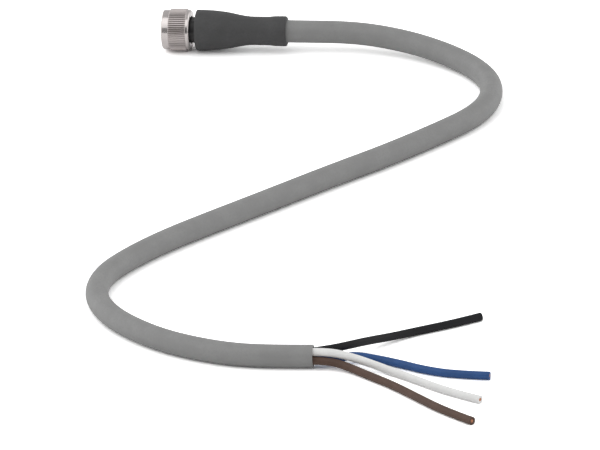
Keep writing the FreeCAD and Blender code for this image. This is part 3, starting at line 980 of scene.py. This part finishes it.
@dataclass
class Core:
    """One insulated core beyond the cable's cut end, in mm."""

    colour: str
    route: list[tuple[float, float, float]]
    angle: float
    radius: float = 0.95
    bore_r: float = 0.43
    bore_depth: float = 0.35
    strand_r: float = 0.078
    strand_rings: int = 2
    strand_length: float = 1.2
    strand_back: float = 0.04
    strand_pitch: float = 2.04
    strand_uneven: float = 0.03
    soft: float = 0.06
    line_pieces: int = 10
    columns: int = 32

    def strands(self, line: Array, finishes: Finishes) -> bpy.types.Object:
        """Makes the copper strands that show in the core's cut end.

        Strand k of ring n lies at n pitches from the middle, at the angle 2 pi k / 6n; each is
        a small rod with a rounded end.

        Args:
            line: Points of the core's line, in metres.
            finishes: The finishes.

        Returns:
            The piece.
        """
        end, run = line[-1], line[-1] - line[-2]
        run = run / np.linalg.norm(run)
        side = np.cross([0.0, 0.0, 1.0], run)
        side /= np.linalg.norm(side)
        over = np.cross(run, side)
        skin = Skin(f"strands_{self.colour}")
        a = np.linspace(0, 2 * np.pi, 12, endpoint=False)
        back = np.array([self.strand_length, self.strand_length, 0.03, 0.01, 0.0])
        wide = np.array([0.0, 1.0, 1.0, 0.8, 0.0])
        for ring in range(self.strand_rings + 1):
            for k in range(max(1, 6 * ring)):
                turn = 2 * np.pi * k / max(1, 6 * ring) + 0.3 * ring
                way = np.array([np.cos(turn), np.sin(turn)])
                place = ring * self.strand_pitch * self.strand_r * way
                uneven = self.strand_uneven * math.sin(2.4 * k + 1.7 * ring)
                u = place[0] + wide[:, None] * self.strand_r * np.cos(a)[None]
                w = place[1] + wide[:, None] * self.strand_r * np.sin(a)[None]
                d = np.broadcast_to(back[:, None] + self.strand_back + uneven, u.shape)
                grid = end + MM * (u[..., None] * side + w[..., None] * over - d[..., None] * run)
                skin.add(grid, False)
        piece = skin.finished(finishes.made["copper"], 60.0)
        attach(piece, BODY)
        return piece

    def build(self, start: Array, heading: Array, finishes: Finishes) -> None:
        """Args:
            start: Its place in the cut end, in mm.
            heading: Direction of the cable there.
            finishes: The finishes.
        """
        route = np.vstack([start - heading, self.route]) * MM
        line = spline_line(f"core_{self.colour}_line", route, self.line_pieces)
        ends = [
            (0.0, self.radius - self.soft), (0.0, self.bore_r + self.soft),
            (self.soft, self.bore_r), (self.bore_depth, self.bore_r), (self.bore_depth, 0.0),
        ]
        grid, straight = swept(line, ends, self.radius, self.columns)
        name = f"insulation_{self.colour}"
        piece = Skin(name).add(grid, False, straight=straight)
        piece = piece.finished(finishes.made[f"core_{self.colour}"], 40.0)
        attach(piece, BODY)
        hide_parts(f"core_{self.colour}")
        strands = self.strands(line, finishes)


@dataclass
class Cable:
    """Round cable from inside the grip to its cut end, and its four cores, in mm."""

    start_x: float = 19.64
    core_r: float = 0.95
    core_gap: float = 0.02
    wall: float = 0.367
    cut_turn: float = -22.0
    mouth_depth: float = 0.9
    soft: float = 0.07
    line_pieces: int = 20
    columns: int = 40

    @property
    def core_offset(self) -> float:
        """Distance from the cable's axis to a core's."""
        return (self.core_r + self.core_gap / 2) * math.sqrt(2)

    @property
    def radius(self) -> float:
        """Outer radius."""
        return self.core_offset + self.core_r + self.wall

    def route(self) -> Array:
        """Route of the axis, the same points as the CAD solid's."""
        low = FLOOR_Z + self.radius
        return np.array([
            (self.start_x, 0.0, 0.0), (32.5, 0.0, 0.0), (46.1, 1.2, -0.5), (58.4, -2.0, -1.3),
            (68.5, -7.9, -1.95), (76.4, -15.3, low), (81.8, -24.8, low), (83.4, -35.6, low),
            (81.1, -46.2, low), (74.5, -56.8, low), (64.1, -71.3, low), (53.2, -84.3, low),
            (38.3, -103.4, low), (28.7, -115.4, low), (20.1, -126.7, low), (13.5, -137.9, low),
            (9.4, -148.2, low), (9.3, -159.1, low), (13.1, -169.2, low), (20.3, -178.6, low),
            (31.2, -187.6, low), (44.8, -193.5, low), (55.8, -194.7, low), (65.8, -194.1, low),
        ])

    def cores(self) -> list[Core]:
        """The free cores, with the same routes as the CAD solids'."""
        low = FLOOR_Z + self.core_r
        return [
            Core("black", [
                (69.4, -192.1, -1.35), (73.2, -189.2, -1.5), (77.0, -184.2, -2.4),
                (81.1, -178.9, -3.6), (85.6, -174.7, low), (90.9, -171.3, low),
                (95.8, -168.0, low), (100.1, -164.6, low),
            ], 45.0),
            Core("white", [
                (69.6, -194.6, -1.0), (74.2, -194.7, -2.0), (78.8, -195.7, -3.05),
                (84.0, -197.8, low), (90.7, -202.8, low), (99.1, -209.5, low),
                (107.3, -213.9, low),
            ], 135.0),
            Core("brown", [
                (69.7, -195.3, -2.95), (74.0, -196.4, -3.8), (79.0, -200.4, low),
                (85.9, -206.2, low), (93.1, -213.7, low), (100.1, -220.9, low),
                (107.3, -226.5, low),
            ], 225.0),
            Core("blue", [
                (69.9, -193.2, -3.5), (74.4, -191.2, -3.1), (79.2, -191.1, -3.85),
                (85.2, -193.3, low), (91.7, -196.9, low), (99.0, -199.3, low),
                (107.4, -199.7, low),
            ], 315.0),
        ]

    def build(self, finishes: Finishes, grip_end_x: float) -> None:
        """Args:
            finishes: The finishes.
            grip_end_x: Where the cable leaves the grip; not used.
        """
        route = self.route()
        line = spline_line("cable_line", route * MM, self.line_pieces)
        inner, soft = self.core_offset + self.core_r, self.soft
        ends = [
            (0.02, self.radius - soft / 3), (0.0, self.radius - soft), (0.0, inner + soft / 2),
            (soft, inner), (self.mouth_depth, inner), (self.mouth_depth, 0.0),
        ]
        grid, straight = swept(line, ends, self.radius, self.columns)
        sheath = Skin("sheath").add(grid, False, straight=straight)
        sheath = sheath.finished(finishes.made["sheath_grey"])
        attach(sheath, BODY)
        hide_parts("cable_sheath")
        heading = route[-1] - route[-2]
        heading /= np.linalg.norm(heading)
        side = np.array([-heading[1], heading[0], 0.0])
        for core in self.cores():
            turn = math.radians(core.angle + self.cut_turn)
            place = route[-1] + self.core_offset * (
                math.cos(turn) * side + math.sin(turn) * np.array([0.0, 0.0, 1.0])
            )
            core.build(place, heading, finishes)


# Studio


@dataclass(frozen=True)
class Studio:
    """Floor, soft light and camera.

    Attributes:
        azimuth: Camera's place round the part, in degrees.
        elevation: Its height above the horizon, in degrees.
        roll: How far it is turned about its own line of sight, in degrees.
        lens: Focal length in mm, long so that near and far parts keep their size.
        pixel: Size of a picture element at the connector, in mm.
        anchor_x: Point on the connector's axis that the picture is hung on, in mm.
        anchor_pixel: Where that point shows in the picture.
        base: Light from everywhere.
        glow: Light from the glow above, over the base.
        glow_height: Its height above the front horizon, in degrees.
        wall: Light from behind the part, over the base.
        side: Light from left and right, over the base.
        glow_band, wall_band, side_band: Where each starts and is full, as a cosine.
        floor_half: Half the floor's side in metres.
        paper, paper_mirrored, paper_seen: The floor's brightness to the part, in reflections
            and in the picture.
        key_place, key_size, key_power: The lamp's place and side in metres, and its watts.
        aim: Point that the lamp faces, in metres.
    """

    azimuth: float = 10.0
    elevation: float = 22.0
    roll: float = -2.83
    lens: float = 1250.0
    pixel: float = 0.2375
    anchor_x: float = -0.3
    anchor_pixel: tuple[float, float] = (164.6, 29.4)
    base: float = 0.18
    glow: float = 0.40
    glow_height: float = 78.0
    wall: float = 0.45
    side: float = 0.95
    glow_band: tuple[float, float] = (0.72, 0.95)
    wall_band: tuple[float, float] = (-0.10, 0.55)
    side_band: tuple[float, float] = (0.30, 0.80)
    floor_half: float = 2.5
    paper: float = 0.90
    paper_mirrored: float = 1.05
    paper_seen: float = 1.80
    key_place: tuple[float, float, float] = (-0.45, -0.70, 1.15)
    key_size: float = 1.4
    key_power: float = 5.5
    aim: tuple[float, float, float] = (0.045, -0.10, 0.0)

    def camera(self) -> None:
        """Makes the camera, aimed so that the anchor shows at its pixel."""
        a, e, t = (math.radians(v) for v in (self.azimuth, self.elevation, self.roll))
        back = np.array([math.sin(a) * math.cos(e), -math.cos(a) * math.cos(e), math.sin(e)])
        level = np.array([math.cos(a), math.sin(a), 0.0])
        upright = np.cross(back, level)
        right = level * math.cos(t) + upright * math.sin(t)
        up = upright * math.cos(t) - level * math.sin(t)
        data = bpy.data.cameras.new("camera")
        data.lens, data.sensor_width = self.lens, 36.0
        data.clip_start, data.clip_end = 0.1, 50.0
        distance = PICTURE[0] * self.pixel * self.lens / data.sensor_width
        middle = np.array([self.anchor_x, 0.0, 0.0])
        middle = middle + right * (PICTURE[0] / 2 - self.anchor_pixel[0]) * self.pixel
        middle = middle - up * (PICTURE[1] / 2 - self.anchor_pixel[1]) * self.pixel
        place = (middle + back * distance) * MM
        camera = linked("camera", data)
        axes = Matrix(np.stack([right, up, back], 1).tolist()).to_4x4()
        camera.matrix_world = Matrix.Translation(place.tolist()) @ axes
        bpy.context.scene.camera = camera

    def lamp(self, name: str, place: Sequence[float], size: float, power: float) -> None:
        """Adds a square soft box that faces the part.

        Args:
            name: Name of the lamp.
            place: Its place in metres.
            size: Side in metres.
            power: Power in watts.
        """
        data = bpy.data.lights.new(name, "AREA")
        data.shape, data.size, data.energy = "SQUARE", size, power
        lamp = linked(name, data)
        aim = np.array(self.aim) - np.array(place)
        lamp.location = place
        lamp.rotation_mode = "QUATERNION"
        lamp.rotation_quaternion = Vector(aim).to_track_quat("-Z", "Y")

    def world(self) -> None:
        """Makes the room: a soft glow high in front, a paler wall behind, dim at the camera's side.

        The light from a direction d is base + glow s(d . g) + wall s(d . back) + side |d . x|,
        where g points steeply up in front of the part and s is a smooth step. The camera itself
        sees plain white.
        """
        world = bpy.data.worlds.new("studio")
        world.use_nodes = True
        bpy.context.scene.world = world
        tree = Tree(world.node_tree)
        way = tree.add("ShaderNodeTexCoord").outputs["Generated"]
        apart = tree.add("ShaderNodeSeparateXYZ", {0: way})
        g = math.radians(self.glow_height)
        toward = (0.0, -math.cos(g), math.sin(g))
        along = tree.add("ShaderNodeVectorMath", {0: way, 1: toward}, operation="DOT_PRODUCT")
        glow = tree.mapped(along.outputs["Value"], *self.glow_band, 0.0, self.glow)
        wall = tree.mapped(apart.outputs[1], *self.wall_band, 0.0, self.wall)
        beside = tree.math("ABSOLUTE", apart.outputs[0])
        side = tree.mapped(beside, *self.side_band, 0.0, self.side)
        level = tree.math("ADD", tree.math("ADD", glow, wall), tree.math("ADD", side, self.base))
        seen = tree.add("ShaderNodeLightPath").outputs["Is Camera Ray"]
        colour = tree.mix(seen, level, (1.0, 1.0, 1.0))
        light = tree.add("ShaderNodeBackground", {"Color": colour, "Strength": 1.0})
        tree.add("ShaderNodeOutputWorld", {"Surface": light.outputs[0]})

    def floor(self) -> None:
        """Makes the pale floor: white in the picture, and shadowed by the part."""
        half = self.floor_half
        corners = [(-half, -half), (half, -half), (half, half), (-half, half)]
        mesh = bpy.data.meshes.new("floor")
        mesh.from_pydata([(x, y, (FLOOR_Z - 0.01) * MM) for x, y in corners], [], [(0, 1, 2, 3)])
        material = bpy.data.materials.new("floor")
        material.use_nodes = True
        tree = Tree(material.node_tree)
        ray = tree.add("ShaderNodeLightPath")
        shown = (ray.outputs["Is Glossy Ray"], ray.outputs["Is Transmission Ray"])
        plain, mirrored, seen = (
            (level,) * 3 for level in (self.paper, self.paper_mirrored, self.paper_seen)
        )
        colour = tree.mix(tree.math("MAXIMUM", *shown), plain, mirrored)
        colour = tree.mix(ray.outputs["Is Camera Ray"], colour, seen)
        paper = tree.add("ShaderNodeBsdfDiffuse", {"Color": colour})
        tree.add("ShaderNodeOutputMaterial", {"Surface": paper.outputs[0]})
        mesh.materials.append(material)
        floor = linked("floor", mesh)

    def build(self) -> None:
        """Sets up the whole studio."""
        bpy.context.scene.view_settings.view_transform = "Standard"
        self.camera()
        self.world()
        self.floor()
        self.lamp("key", self.key_place, self.key_size, self.key_power)
        log.info("studio: camera %.0f mm", self.lens)


def node_slots() -> dict[str, str]:
    """Material slot of every CAD node that stays in view."""
    slots = {
        "detent_ring": "ring_plastic",
        "contact_carrier": "carrier_black",
        "seal_ring": "seal_rubber",
        "inner_mould": "mould_plastic",
    }
    slots.update({f"socket_contact_{n}": "gold" for n in range(1, 5)})
    for colour in ("brown", "white", "blue", "black"):
        slots[f"conductor_{colour}"] = "copper"
        slots[f"core_tail_{colour}"] = f"core_{colour}"
    return slots


def main() -> None:
    """Builds the studio, the finishes and every piece."""
    logging.basicConfig(level=logging.INFO, format="%(name)s: %(message)s")
    Studio().build()
    finishes = Finishes.build()
    finishes.dress_nodes(node_slots())
    cable = Cable()
    grip = Grip()
    CouplingNut().build(finishes)
    grip.build(finishes, cable.radius)
    cable.build(finishes, grip.front_x + grip.length)


if __name__ == "__main__":
    main()
